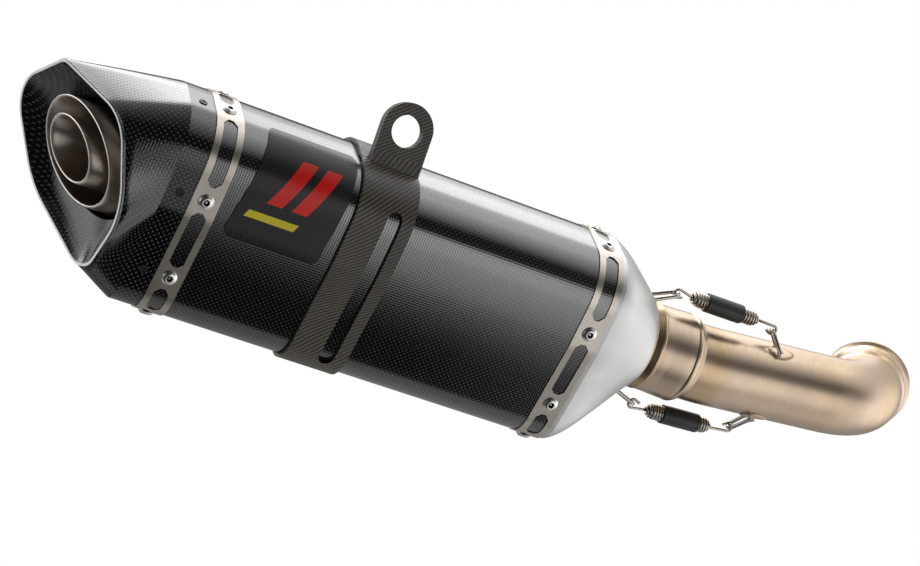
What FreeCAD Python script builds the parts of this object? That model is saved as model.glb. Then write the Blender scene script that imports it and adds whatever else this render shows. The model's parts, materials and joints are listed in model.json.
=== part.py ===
import FreeCAD, Part
import math
import os
from FreeCAD import Placement, Rotation, Vector
from Sketcher import Constraint

# A six-sided racing silencer on its sprung link pipe.
# The silencer's axis is X, from the outlet (low X) to the link pipe (high X), with Z up.
# Everything is drawn about the neck's axis and then moved so that the hanger eye is the origin.

doc = FreeCAD.newDocument("silencer")
sheet = doc.addObject("Spreadsheet::Sheet", "dims")

DIMENSIONS = [
    # shield section: corner places (half widths and heights) and corner radii
    ("top_height", 62.7), ("top_radius", 41.0),
    ("shoulder_half", 56.2), ("shoulder_height", 35.8), ("shoulder_radius", 30.0),
    ("flank_half", 40.1), ("flank_drop", 15.4), ("flank_radius", 40.0),
    ("keel_drop", 104.7), ("keel_radius", 19.3),
    # sleeve, straps and rivets
    ("sleeve_length", 276.0), ("sleeve_wall", 1.5),
    ("strap_width", 17.5), ("strap_thick", 0.8), ("strap_rail", 4.2), ("inlet_strap_start", 258.5),
    ("rivet_radius", 4.6), ("rivet_rise", 1.9), ("rivet_rim", 0.5), ("socket_radius", 1.7),
    ("window_end", 7.5), ("window_tip", 3.0),
    # end cap, its slanted rim and dish
    ("cap_flange", 16.0), ("cap_wall", 2.2),
    ("rim_centre", -65.5), ("rim_lean_up", 0.44), ("rim_lean_side", 0.44),
    ("rim_top", 47.9), ("rim_shoulder_half", 50.2), ("rim_shoulder_height", 26.4),
    ("rim_flank_half", 42.2), ("rim_flank_drop", 28.7), ("rim_keel_drop", 71.0),
    ("dish_depth", 15.0), ("dish_wall", 1.5), ("dish_hole", 33.0), ("dish_play", 0.3),
    ("screw_row", -7.5), ("screw_radius", 2.6), ("screw_rise", 0.5), ("screw_socket", 1.2),
    # outlet tubes
    ("outer_tube_radius", 29.6), ("inner_tube_radius", 18.5), ("tube_wall", 1.2), ("tube_drop", 1.3),
    ("outer_lip", -62.0), ("inner_lip", -66.8), ("tube_lean_up", 0.5), ("tube_lean_side", 0.42),
    ("outer_tube_end", 4.0), ("inner_tube_end", 52.0),
    ("web_start", -30.0), ("web_length", 22.0), ("web_thick", 1.0),
    # inner works
    ("core_radius", 23.5), ("core_wall", 1.0), ("core_hole", 3.0), ("core_end", 302.0),
    ("hole_pitch", 24.0), ("first_hole", 34.0), ("bulkhead_thick", 2.0), ("outlet_bulkhead_start", 4.1),
    ("inlet_bulkhead_start", 270.0), ("wool_start", 8.0), ("wool_length", 260.0),
    # inlet cap and neck
    ("dome_flange", 3.0), ("dome_length", 43.0), ("dome_end_radius", 30.2), ("dome_wall", 1.5),
    ("neck_radius", 28.2), ("socket_lip_radius", 29.0), ("socket_end", 350.4),
    # link pipe
    ("pipe_radius", 25.4), ("pipe_wall", 1.2), ("slip_length", 27.0), ("slip_play", 0.05),
    ("first_bend_start", 360.7), ("first_bend_radius", 176.0), ("first_bend", 5.2),
    ("first_bend_roll", 104.0),
    ("long_run", 84.0), ("elbow_radius", 50.0), ("elbow", 62.5), ("elbow_roll", 16.0),
    ("collar_length", 18.0), ("collar_radius", 29.8), ("collar_lip", 3.8),
    # hanger clamp
    ("clamp_start", 95.0), ("clamp_width", 37.0), ("clamp_thick", 1.8),
    ("clamp_gap", 0.3), ("liner_thick", 0.5),
    ("eye_along", 116.1), ("eye_height", 74.0), ("eye_front", 31.8), ("ear_thick", 2.6), ("ear_gap", 0.8),
    ("ear_half", 16.3), ("ear_round_rise", 1.2), ("ear_foot", 46.0), ("eye_radius", 10.0),
    ("slot_centre", 119.5), ("slot_half", 5.0), ("slot_low", -69.0), ("slot_high", 21.0),
    # springs and their hooks
    ("hook_wire", 1.2), ("spring_wire", 0.9), ("coil_radius", 5.2),
    ("cuff_radius", 6.1), ("cuff_length", 27.0),
    ("hook_half", 3.4), ("end_hook_reach", 2.9), ("pad_radius", 6.0), ("coil_turns", 22),
    ("badge_thick", 0.8),
]
for line, (name, value) in enumerate(DIMENSIONS, start=1):
    sheet.set("A%d" % line, name)
    sheet.set("B%d" % line, str(value))
    sheet.setAlias("B%d" % line, name)
doc.recompute()
size = {name: float(sheet.get(name)) for name, _ in DIMENSIONS}

ALONG_X = Rotation(Vector(0, 1, 0), Vector(0, 0, 1), Vector(1, 0, 0), "XYZ")
X_AXIS = Vector(1, 0, 0)
ORIGIN = {
    "x": "-dims.eye_along",
    "y": "dims.eye_front - dims.ear_thick - dims.ear_gap / 2",
    "z": "-dims.eye_height",
}
nodes = []


def finish(item, node):
    """Give a finished sub-part its name and move it so that the hanger eye is at the origin."""
    item.Label = node
    for axis, rule in ORIGIN.items():
        item.setExpression("Placement.Base." + axis, rule)
    nodes.append(item)
    return item


def coded(shape, label):
    """A document object for a shape that is computed here from the sheet's sizes."""
    item = doc.addObject("Part::Feature", label)
    item.Shape = shape if shape.Placement.isIdentity() else Part.makeCompound([shape])
    return item


def joined(kind, label, *items):
    """A Part boolean of finished objects."""
    item = doc.addObject("Part::" + kind, label)
    if kind in ("MultiFuse", "MultiCommon"):
        item.Shapes = list(items)
    else:
        item.Base, item.Tool = items
    return item


# ---------------------------------------------------------------- shield section

CORNERS = [
    # half width, height, radius of each corner of the right half, as sheet rules
    ("0", "dims.top_height", "dims.top_radius"),
    ("dims.shoulder_half", "dims.shoulder_height", "dims.shoulder_radius"),
    ("dims.flank_half", "-dims.flank_drop", "dims.flank_radius"),
    ("0", "-dims.keel_drop", "dims.keel_radius"),
    ("-dims.flank_half", "-dims.flank_drop", "dims.flank_radius"),
    ("-dims.shoulder_half", "dims.shoulder_height", "dims.shoulder_radius"),
]


def corner_points(names):
    """The six corners (y, z) of a shield outline from its six sheet sizes."""
    top, half, height, flank, drop, keel = (size[n] for n in names)
    return [(0, top), (half, height), (flank, -drop), (0, -keel), (-flank, -drop), (-half, height)]


def fillet_corner(before, corner, after, radius):
    """Ends and middle of the arc that rounds a corner."""
    back = (before - corner).normalize()
    ahead = (after - corner).normalize()
    half_angle = back.getAngle(ahead) / 2
    reach = radius / math.tan(half_angle)
    centre = corner + (back + ahead).normalize() * (radius / math.sin(half_angle))
    middle = centre + (corner - centre).normalize() * radius
    return corner + back * reach, middle, corner + ahead * reach


def rounded_wire(points, radii):
    """A closed outline through flat corners, each rounded by its own radius."""
    count = len(points)
    arcs = [fillet_corner(points[i - 1], points[i], points[(i + 1) % count], radii[i]) for i in range(count)]
    edges = []
    for i, (start, middle, end) in enumerate(arcs):
        edges.append(Part.Arc(start, middle, end).toShape())
        edges.append(Part.LineSegment(end, arcs[(i + 1) % count][0]).toShape())
    return Part.Wire(edges)


SECTION_NAMES = ["top_height", "shoulder_half", "shoulder_height", "flank_half", "flank_drop", "keel_drop"]
SECTION_RADII = [size[n] for n in ("top_radius", "shoulder_radius", "flank_radius", "keel_radius",
                                   "flank_radius", "shoulder_radius")]


def section_wire(x):
    return rounded_wire([Vector(x, y, z) for y, z in corner_points(SECTION_NAMES)], SECTION_RADII)


def section_sketch():
    """The shield outline as a fully constrained sketch on the plane across the axis."""
    sketch = doc.addObject("Sketcher::SketchObject", "shield_section")
    sketch.Placement = Placement(Vector(0, 0, 0), ALONG_X)
    radii = SECTION_RADII
    flat = [Vector(y, z, 0) for y, z in corner_points(SECTION_NAMES)]
    count = len(flat)
    arcs = [fillet_corner(flat[i - 1], flat[i], flat[(i + 1) % count], radii[i]) for i in range(count)]
    for start, middle, end in arcs:
        sketch.addGeometry(Part.Arc(start, middle, end), False)
    for i in range(count):
        sketch.addGeometry(Part.LineSegment(arcs[i][2], arcs[(i + 1) % count][0]), False)
    for corner in flat:
        sketch.addGeometry(Part.Point(corner), True)
    for i in range(count):
        line_after, line_before, point = count + i, count + (i - 1) % count, 2 * count + i
        # a clockwise arc is stored from its end to its start
        sketch.addConstraint(Constraint("Tangent", i, 1, line_after, 1))
        sketch.addConstraint(Constraint("Tangent", i, 2, line_before, 2))
        sketch.addConstraint(Constraint("PointOnObject", point, 1, line_after))
        sketch.addConstraint(Constraint("PointOnObject", point, 1, line_before))
        across, height, radius = CORNERS[i]
        for kind, rule, value in (("Radius", radius, radii[i]), ("DistanceX", across, flat[i].x),
                                  ("DistanceY", height, flat[i].y)):
            if kind == "Radius":
                index = sketch.addConstraint(Constraint(kind, i, value))
            elif kind == "DistanceX" and rule == "0":
                sketch.addConstraint(Constraint("PointOnObject", point, 1, -2))
                continue
            else:
                index = sketch.addConstraint(Constraint(kind, -1, 1, point, 1, value))
            sketch.setExpression("Constraints[%d]" % index, rule)
    return sketch


section = section_sketch()


def slab(label, grow, start, length):
    """A length of the shield section, grown outwards by a rule from the sheet."""
    base = section
    if grow != "0":
        base = doc.addObject("Part::Offset2D", label + "_outline")
        base.Source = section
        base.setExpression("Value", grow)
    block = doc.addObject("Part::Extrusion", label)
    block.Base = base
    block.DirMode = "Custom"
    block.Dir = X_AXIS
    block.Solid = True
    block.setExpression("LengthFwd", length)
    block.setExpression("Placement.Base.x", start)
    return block


def ring(label, inner, outer, start, length):
    """A band of the shield section between two offsets."""
    return joined("Cut", label, slab(label + "_outer", outer, start, length),
                  slab(label + "_inner", inner, start + " - 1", length + " + 2"))


def drum(label, radius, start, length):
    """A cylinder along the axis, its sizes ruled by the sheet."""
    item = doc.addObject("Part::Cylinder", label)
    item.Placement = Placement(Vector(0, 0, 0), ALONG_X)
    item.setExpression("Radius", radius)
    item.setExpression("Height", length)
    item.setExpression("Placement.Base.x", start)
    return item


# ---------------------------------------------------------------- sleeve, straps and rivets

finish(ring("sleeve_ring", "-dims.sleeve_wall", "0", "0", "dims.sleeve_length"), "outer_sleeve")

# rivet stations round the section: a point on the surface (y, z) and the way out of it
STATIONS = [
    ((0.0, 58.2), (0.0, 1.0)),
    ((-27.8, 49.4), (-0.43, 0.90)), ((-44.2, -4.9), (-0.955, -0.296)), ((-23.0, -53.5), (-0.912, -0.410)),
    ((27.8, 49.4), (0.43, 0.90)), ((44.2, -4.9), (0.955, -0.296)), ((23.0, -53.5), (0.912, -0.410)),
    ((0.0, -77.0), (0.0, -1.0)),
]
# windows run between neighbouring stations
WINDOWS = [(0, 1), (1, 2), (2, 3), (3, 7), (0, 4), (4, 5), (5, 6), (6, 7)]
STATION_REACH = 12.0
WINDOW_SINK = 4.0
WINDOW_REACH = 34.0


def on_surface(y, z, way, grow):
    """A station's point on the section grown by a distance."""
    wire = section_wire(0).makeOffset2D(grow) if grow else section_wire(0)
    outwards = Vector(0, way[0], way[1])
    reach = Part.LineSegment(Vector(0, y, z) - outwards * STATION_REACH,
                             Vector(0, y, z) + outwards * STATION_REACH).toShape()
    return wire.distToShape(reach)[1][0][0]


def window_cutter(first, last, start):
    """A long six-sided window that follows the strap from one station towards the next."""
    ends = [on_surface(*STATIONS[i][0], STATIONS[i][1], 0.0) for i in (first, last)]
    middle = (ends[0] + ends[1]) / 2
    along = (ends[1] - ends[0]).normalize()
    outwards = Vector(1, 0, 0).cross(along)
    if outwards.dot(middle) < 0:
        outwards = outwards * -1
    half = (ends[1] - ends[0]).Length / 2 - size["window_end"]
    wide = size["strap_width"] / 2 - size["strap_rail"]
    tip = size["window_tip"]
    centre = middle + X_AXIS * (start + size["strap_width"] / 2) - outwards * WINDOW_SINK
    outline = [(-half, 0.35), (-half + tip, 1), (half - tip, 1), (half, 0.35),
               (half, -0.35), (half - tip, -1), (-half + tip, -1), (-half, -0.35)]
    corners = [centre + along * a + X_AXIS * (b * wide) for a, b in outline]
    return Part.Face(Part.makePolygon(corners + corners[:1])).extrude(outwards * WINDOW_REACH)


def rivet_shape():
    """A dome head with a round socket, standing on the plane z = 0."""
    radius, rise = size["rivet_radius"], size["rivet_rise"]
    socket, rim = size["socket_radius"], size["rivet_rim"]
    crown = [Vector(radius, 0, rim), Vector(radius * 0.72, 0, rise * 0.8), Vector(socket, 0, rise)]
    profile = Part.Wire([
        Part.LineSegment(Vector(0, 0, 0), Vector(radius, 0, 0)).toShape(),
        Part.LineSegment(Vector(radius, 0, 0), Vector(radius, 0, rim)).toShape(),
        Part.Arc(*crown).toShape(),
        Part.LineSegment(Vector(socket, 0, rise), Vector(socket, 0, rise * 0.35)).toShape(),
        Part.LineSegment(Vector(socket, 0, rise * 0.35), Vector(0, 0, rise * 0.35)).toShape(),
        Part.LineSegment(Vector(0, 0, rise * 0.35), Vector(0, 0, 0)).toShape(),
    ])
    return Part.Face(profile).revolve(Vector(0, 0, 0), Vector(0, 0, 1), 360)


def placed_round(shape, x, grow, stations):
    """Copies of a shape stood on the section's surface at the stations."""
    copies = []
    for (y, z), way in stations:
        foot = on_surface(y, z, way, grow) + X_AXIS * x
        copy = shape.copy()
        copy.Placement = Placement(foot, Rotation(Vector(0, 0, 1), Vector(0, way[0], way[1])))
        copies.append(copy)
    return Part.makeCompound(copies)


for strap, start, rule in (("outlet_strap", 0.0, "0"),
                           ("inlet_strap", size["inlet_strap_start"], "dims.inlet_strap_start")):
    band = ring(strap + "_band", "0.02", "dims.strap_thick", rule, "dims.strap_width")
    cutters = coded(Part.makeCompound([window_cutter(a, b, start) for a, b in WINDOWS]), strap + "_windows")
    finish(joined("Cut", strap + "_cut", band, cutters), strap)
    middle_line = start + size["strap_width"] / 2
    rivets = placed_round(rivet_shape(), middle_line, size["strap_thick"] + 0.04, STATIONS)
    finish(coded(rivets, strap + "_rivet_group"), strap + "_rivets")

# ---------------------------------------------------------------- outlet end cap and dish

RIM_NAMES = ["rim_top", "rim_shoulder_half", "rim_shoulder_height", "rim_flank_half", "rim_flank_drop",
             "rim_keel_drop"]
RIM_RADII = [11.5, 26.0, 55.0, 17.0, 55.0, 26.0]


def rim_plane_x(y, z):
    return size["rim_centre"] - size["rim_lean_up"] * z - size["rim_lean_side"] * y


def rim_wire(shift=0.0):
    corners = [Vector(rim_plane_x(y, z) + shift, y, z) for y, z in corner_points(RIM_NAMES)]
    return rounded_wire(corners, RIM_RADII)


def cap_solid(inset):
    """The end cap's body, full or inset by its wall: a straight flange and a slanted snout."""
    wires = [section_wire(0), section_wire(-size["cap_flange"]), rim_wire()]
    if inset:
        wires = [w.makeOffset2D(-inset) for w in wires]
        wires[0].translate(X_AXIS * 2)
    return Part.makeLoft(wires, True, True)


def floor_point(angle, shift):
    """A point of the dish's lower edge round the outlet tube."""
    y = size["dish_hole"] * math.cos(angle)
    z = size["dish_hole"] * math.sin(angle) - size["tube_drop"]
    return Vector(rim_plane_x(y, z) + size["dish_depth"] + shift, y, z)


def dish_solid(shift):
    """The funnel between the rim and the hole round the outlet tube, as a solid plug."""
    mouth = rim_wire().makeOffset2D(-size["cap_wall"] - size["dish_play"])
    mouth.translate(X_AXIS * shift)
    corners = [edge.firstVertex(True).Point for edge in mouth.OrderedEdges]
    angles = [math.atan2(corner.z + size["tube_drop"], corner.y) for corner in corners]
    floor = []
    for i, angle in enumerate(angles):
        turn = (angles[(i + 1) % len(angles)] - angle + math.pi) % (2 * math.pi) - math.pi
        floor.append(Part.Arc(*(floor_point(angle + turn * part, shift) for part in (0, 0.5, 1))).toShape())
    return Part.makeLoft([mouth, Part.Wire(floor)], True, True)


finish(coded(cap_solid(0).cut(cap_solid(size["cap_wall"])), "end_cap_shell"), "outlet_end_cap")
dish = dish_solid(size["dish_wall"]).cut(dish_solid(0))
well = Part.makeCylinder(size["dish_hole"] - 0.2, 160, Vector(-130, 0, -size["tube_drop"]), X_AXIS)
finish(coded(dish.cut(well), "dish_shell"), "end_cap_dish")

SCREWS = [STATIONS[i] for i in (1, 2, 3, 4, 5, 6)]


def screw_shape():
    """A low round head with a socket, standing on the plane z = 0."""
    head = Part.makeCylinder(size["screw_radius"], size["screw_rise"])
    return head.cut(Part.makeCylinder(size["screw_socket"], size["screw_rise"], Vector(0, 0, 0.2)))


cap_screws = placed_round(screw_shape(), size["screw_row"], 0.02, SCREWS)
finish(coded(cap_screws, "cap_screw_group"), "end_cap_screws")

# ---------------------------------------------------------------- outlet tubes

TUBE_BLANK_START = -140.0
LIP_REACH = 60.0


def lip_tube(radius, lip, end):
    """A thin tube with its outer end cut on a lean."""
    centre = Vector(TUBE_BLANK_START, 0, -size["tube_drop"])
    tube = Part.makeCylinder(radius, end - TUBE_BLANK_START, centre, X_AXIS)
    tube = tube.cut(Part.makeCylinder(radius - size["tube_wall"], end - TUBE_BLANK_START, centre, X_AXIS))
    outline = []
    for side, up in ((-1, -1), (1, -1), (1, 1), (-1, 1)):
        y, z = side * LIP_REACH, up * LIP_REACH
        x = size[lip] - size["tube_lean_up"] * (z + size["tube_drop"]) - size["tube_lean_side"] * y
        outline.append(Vector(x, y, z))
    beyond = Part.Face(Part.makePolygon(outline + outline[:1])).extrude(X_AXIS * -150)
    return tube.cut(beyond)


outer_tube = lip_tube(size["outer_tube_radius"], "outer_lip", size["outer_tube_end"])
finish(coded(outer_tube, "outer_tube"), "outlet_outer_tube")
inner_tube = lip_tube(size["inner_tube_radius"], "inner_lip", size["inner_tube_end"])
finish(coded(inner_tube, "inner_tube"), "outlet_inner_tube")
web_outer = size["outer_tube_radius"] - size["tube_wall"]
web = Part.makeBox(size["web_length"], size["web_thick"], web_outer - size["inner_tube_radius"] - 0.1,
                   Vector(size["web_start"], -size["web_thick"] / 2, -size["tube_drop"] - web_outer + 0.05))
finish(coded(web, "tube_web_plate"), "outlet_tube_web")

# ---------------------------------------------------------------- inner works

HOLE_ROWS = 10
HOLE_SPOKES = 4
core_start = size["outlet_bulkhead_start"] + size["bulkhead_thick"] + 0.02


def core_shape():
    """The gas tube through the wool, with rows of cross holes turned half a step from row to row."""
    start, length, step_angle = Vector(core_start, 0, 0), size["core_end"] - core_start, 180.0 / HOLE_SPOKES
    tube = Part.makeCylinder(size["core_radius"], length, start, X_AXIS)
    tube = tube.cut(Part.makeCylinder(size["core_radius"] - size["core_wall"], length, start, X_AXIS))
    holes = []
    for row in range(HOLE_ROWS):
        place = X_AXIS * (size["first_hole"] + size["hole_pitch"] * row)
        for spoke in range(HOLE_SPOKES):
            way = Rotation(X_AXIS, step_angle * (spoke + 0.5 * (row % 2))).multVec(Vector(0, 0, 1))
            holes.append(Part.makeCylinder(size["core_hole"], 60, place - way * 30, way))
    return tube.cut(Part.makeCompound(holes))


finish(coded(core_shape(), "core_tube"), "perforated_core")
wool = joined("Cut", "wool_block",
              slab("wool_slab", "-dims.sleeve_wall - 0.1", "dims.wool_start", "dims.wool_length"),
              drum("wool_bore", "dims.core_radius + 0.1", "dims.wool_start - 1", "dims.wool_length + 2"))
finish(wool, "packing_wool")
outlet_plate = joined("Cut", "outlet_plate",
                      slab("outlet_plate_slab", "-dims.sleeve_wall - 0.05", "dims.outlet_bulkhead_start",
                           "dims.bulkhead_thick"),
                      drum("outlet_plate_hole", "dims.core_radius - dims.core_wall",
                           "dims.outlet_bulkhead_start - 2", "dims.bulkhead_thick + 4"))
finish(outlet_plate, "outlet_bulkhead")
inlet_plate = joined("Cut", "inlet_plate",
                     slab("inlet_plate_slab", "-dims.sleeve_wall - 0.05", "dims.inlet_bulkhead_start",
                          "dims.bulkhead_thick"),
                     drum("inlet_plate_hole", "dims.core_radius + 0.1", "dims.inlet_bulkhead_start - 2",
                          "dims.bulkhead_thick + 4"))
finish(inlet_plate, "inlet_bulkhead")

# ---------------------------------------------------------------- inlet cap and neck

# share of the way from the shield section to the round end, against the distance along the dome
DOME_STAGES = [(0.0, 0.0), (0.26, 0.16), (0.5, 0.40), (0.77, 0.70), (1.0, 1.0)]
DOME_POINTS = 40


def dome_wire(x, share, inset):
    """An outline part of the way from the shield section to the round end."""
    outline = section_wire(0).makeOffset2D(-inset) if inset else section_wire(0)
    end_radius = size["dome_end_radius"] - inset
    points = []
    for i in range(DOME_POINTS):
        angle = 2 * math.pi * i / DOME_POINTS
        way = Vector(0, math.cos(angle), math.sin(angle))
        spoke = Part.LineSegment(way * 10, way * 130).toShape()
        radius = outline.distToShape(spoke)[1][0][0].Length
        points.append(way * (radius * (1 - share) + end_radius * share) + X_AXIS * x)
    curve = Part.BSplineCurve()
    curve.interpolate(points, PeriodicFlag=True)
    return Part.Wire([curve.toShape()])


def dome_solid(inset):
    """The inlet cap's tapering body, full or inset by its wall."""
    start = size["sleeve_length"] + size["dome_flange"]
    run = size["dome_length"] - size["dome_flange"] - inset
    wires = [dome_wire(start + run * part, share, inset) for part, share in DOME_STAGES]
    return Part.makeLoft(wires, True, False)


dome = dome_solid(0).cut(dome_solid(size["dome_wall"]))
bore = Part.makeCylinder(size["neck_radius"] - 1.0, 60, Vector(size["sleeve_length"] + 20, 0, 0), X_AXIS)
finish(coded(dome.cut(bore), "dome_shell"), "inlet_cap")
dome_flange = ring("dome_flange_ring", "-dims.dome_wall", "0", "dims.sleeve_length", "dims.dome_flange")
finish(dome_flange, "inlet_cap_flange")


def turned_body(label, outline):
    """A PartDesign body turned about X from an outline of (sheet rule for x, sheet rule for radius)."""
    body = doc.addObject("PartDesign::Body", label)
    sketch = body.newObject("Sketcher::SketchObject", label + "_outline")
    plane = [f for f in body.Origin.OriginFeatures if f.Role == "XZ_Plane"][0]
    sketch.AttachmentSupport = [(plane, "")]
    sketch.MapMode = "FlatFace"
    doc.recompute()
    probe = doc.addObject("Part::Box", label + "_probe")
    values = []
    for x_rule, r_rule in outline:
        pair = []
        for rule in (x_rule, r_rule):
            probe.setExpression("Length", rule)
            doc.recompute()
            pair.append(probe.Length.Value)
        values.append(pair)
    doc.removeObject(probe.Name)
    count = len(outline)
    for i in range(count):
        a, b = values[i], values[(i + 1) % count]
        sketch.addGeometry(Part.LineSegment(Vector(a[0], a[1], 0), Vector(b[0], b[1], 0)), False)
    for i in range(count):
        sketch.addConstraint(Constraint("Coincident", i, 2, (i + 1) % count, 1))
        for kind, rule, value in (("DistanceX", outline[i][0], values[i][0]),
                                  ("DistanceY", outline[i][1], values[i][1])):
            index = sketch.addConstraint(Constraint(kind, -1, 1, i, 1, value))
            sketch.setExpression("Constraints[%d]" % index, rule)
    turn = body.newObject("PartDesign::Revolution", label + "_turned")
    turn.Profile = sketch
    turn.ReferenceAxis = (sketch, ["H_Axis"])
    turn.Angle = 360
    sketch.Visibility = False
    return body


SHOULDER = "dims.socket_end - dims.slip_length - 0.5"
neck = turned_body("neck", [
    ("dims.socket_end - 50", "dims.core_radius + 0.1"),
    (SHOULDER, "dims.core_radius + 0.1"),
    (SHOULDER, "dims.pipe_radius + dims.slip_play"),
    ("dims.socket_end", "dims.pipe_radius + dims.slip_play"),
    ("dims.socket_end", "dims.socket_lip_radius"),
    ("dims.socket_end - 4", "dims.socket_lip_radius - 0.1"),
    ("dims.socket_end - 16", "dims.neck_radius + 0.1"),
    ("dims.socket_end - 22.6", "dims.neck_radius"),
    ("dims.socket_end - 23.4", "dims.neck_radius + 0.5"),
    ("dims.socket_end - 24.6", "dims.neck_radius + 0.5"),
    ("dims.socket_end - 25.4", "dims.neck_radius - 0.1"),
    ("dims.socket_end - 29", "dims.neck_radius - 1.05"),
    ("dims.socket_end - 50", "dims.neck_radius - 1.05"),
])
finish(neck, "inlet_neck")

# ---------------------------------------------------------------- link pipe


def bend(start, way, inward, radius, angle):
    """An arc edge that turns from a way towards an inward direction, with its end and new way."""
    def at(turn):
        return start + inward * (radius * (1 - math.cos(turn))) + way * (radius * math.sin(turn))
    edge = Part.Arc(start, at(angle / 2), at(angle)).toShape()
    return edge, at(angle), way * math.cos(angle) + inward * math.sin(angle)


def side_way(way, roll):
    """The direction across a way, rolled from level towards up."""
    level = Vector(0, 0, 1).cross(way).normalize()
    up = way.cross(level)
    return level * math.cos(roll) + up * math.sin(roll)


SLIP_START = size["socket_end"] - size["slip_length"]
slip_edge = Part.LineSegment(Vector(SLIP_START, 0, 0), Vector(size["first_bend_start"], 0, 0)).toShape()
first_inward = side_way(X_AXIS, math.radians(size["first_bend_roll"]))
first_edge, run_start, run_way = bend(Vector(size["first_bend_start"], 0, 0), X_AXIS, first_inward,
                                      size["first_bend_radius"], math.radians(size["first_bend"]))
run_end = run_start + run_way * size["long_run"]
run_edge = Part.LineSegment(run_start, run_end).toShape()
elbow_edge, elbow_end, elbow_way = bend(run_end, run_way, side_way(run_way, math.radians(size["elbow_roll"])),
                                        size["elbow_radius"], math.radians(size["elbow"]))
route = [slip_edge, first_edge, run_edge, elbow_edge]


def swept(radius):
    """A round bar along the link pipe's whole route."""
    circle = Part.Wire([Part.Circle(Vector(SLIP_START, 0, 0), X_AXIS, radius).toShape()])
    return Part.Wire(route).makePipeShell([circle], True, False)


pipe = swept(size["pipe_radius"]).cut(swept(size["pipe_radius"] - size["pipe_wall"]))
slits = []
for turn in (45, 135):
    slit = Part.makeBox(18, 1.6, 60, Vector(SLIP_START - 1, -0.8, -30))
    slit.rotate(Vector(0, 0, 0), X_AXIS, turn)
    slits.append(slit)
finish(coded(pipe.cut(Part.makeCompound(slits)), "bent_pipe"), "link_pipe")

bead = turned_body("bead", [
    ("dims.socket_end + 0.6", "dims.pipe_radius + 0.02"),
    ("dims.socket_end + 8.2", "dims.pipe_radius + 0.02"),
    ("dims.socket_end + 8.2", "dims.pipe_radius + 0.25"),
    ("dims.socket_end + 5.6", "dims.pipe_radius + 1.1"),
    ("dims.socket_end + 4", "dims.socket_lip_radius - 0.4"),
    ("dims.socket_end + 2.6", "dims.socket_lip_radius + 0.2"),
    ("dims.socket_end + 1.4", "dims.socket_lip_radius + 0.2"),
    ("dims.socket_end + 0.6", "dims.socket_lip_radius - 0.4"),
])
finish(bead, "link_pipe_bead")


def turned_shape(profile, place, way):
    """A solid turned from (distance, radius) points, set on a place and pointed along a way."""
    corners = [Vector(r, 0, d) for d, r in profile]
    solid = Part.Face(Part.makePolygon(corners + corners[:1])).revolve(Vector(0, 0, 0), Vector(0, 0, 1), 360)
    solid.Placement = Placement(place, Rotation(Vector(0, 0, 1), way))
    return solid


inside = size["pipe_radius"] - size["pipe_wall"]
run, lip, outside = size["collar_length"], size["collar_lip"], size["collar_radius"]
collar_profile = [
    (0, inside), (3.0, size["pipe_radius"] + 0.1), (run, size["pipe_radius"] + 0.1), (run, outside - 0.6),
    (run - 0.6, outside), (run - lip + 0.6, outside), (run - lip, outside - 0.6),
    (run - lip - 1.6, size["pipe_radius"] + 2.6), (run - lip - 6, size["pipe_radius"] + 1.5),
    (3.2, size["pipe_radius"] + 1.3), (0, size["pipe_radius"]),
]
finish(coded(turned_shape(collar_profile, elbow_end, elbow_way), "collar"), "link_pipe_collar")

# ---------------------------------------------------------------- hanger clamp

CLAMP_LOW = "dims.clamp_gap + dims.liner_thick"
eye_x, eye_z, ear = size["eye_along"], size["eye_height"], size["ear_half"]
front, thick, gap = size["eye_front"], size["ear_thick"], size["ear_gap"]


def ear_plate(front_y):
    """An upright ear with a round top, from the clamp's roof up."""
    low, high = size["ear_foot"], eye_z + size["ear_round_rise"]
    left_low, left_high = Vector(eye_x - ear, front_y, low), Vector(eye_x - ear, front_y, high)
    right_low, right_high = Vector(eye_x + ear, front_y, low), Vector(eye_x + ear, front_y, high)
    outline = Part.Wire([
        Part.LineSegment(left_low, left_high).toShape(),
        Part.Arc(left_high, Vector(eye_x, front_y, high + ear), right_high).toShape(),
        Part.LineSegment(right_high, right_low).toShape(),
        Part.LineSegment(right_low, left_low).toShape(),
    ])
    return Part.Face(outline).extrude(Vector(0, thick, 0))


def slot_block():
    """A round-ended slot through both flanks, from the keel up to the shoulders."""
    half, middle, low, high = (size[n] for n in ("slot_half", "slot_centre", "slot_low", "slot_high"))
    bar = Part.makeBox(2 * half, 160, high - low, Vector(middle - half, -80, low))
    for z in (low, high):
        bar = bar.fuse(Part.makeCylinder(half, 160, Vector(middle, -80, z), Vector(0, 1, 0)))
    return bar


CLAMP_HIGH = CLAMP_LOW + " + dims.clamp_thick"
band = ring("clamp_ring", CLAMP_LOW, CLAMP_HIGH, "dims.clamp_start", "dims.clamp_width")
ears = coded(Part.makeCompound([ear_plate(-front), ear_plate(-front + thick + gap)]), "ear_pair")
ear_room = slab("ear_room", CLAMP_LOW, "dims.clamp_start - 5", "dims.clamp_width + 10")
ears_cut = joined("Cut", "ears_above_sleeve", ears, ear_room)
split = coded(Part.makeBox(80, gap, 90, Vector(eye_x - 40, -front + thick, 40)), "ear_split")
eye_drill = Part.makeCylinder(size["eye_radius"], 30, Vector(eye_x, -front - 10, eye_z), Vector(0, 1, 0))
eye_hole = coded(eye_drill, "eye_bore")
slot_tool = coded(slot_block(), "slot_tool")
openings = joined("MultiFuse", "clamp_openings", split, eye_hole, slot_tool)
whole = joined("MultiFuse", "clamp_whole", band, ears_cut)
finish(joined("Cut", "clamp_cut", whole, openings), "hanger_clamp")

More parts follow.
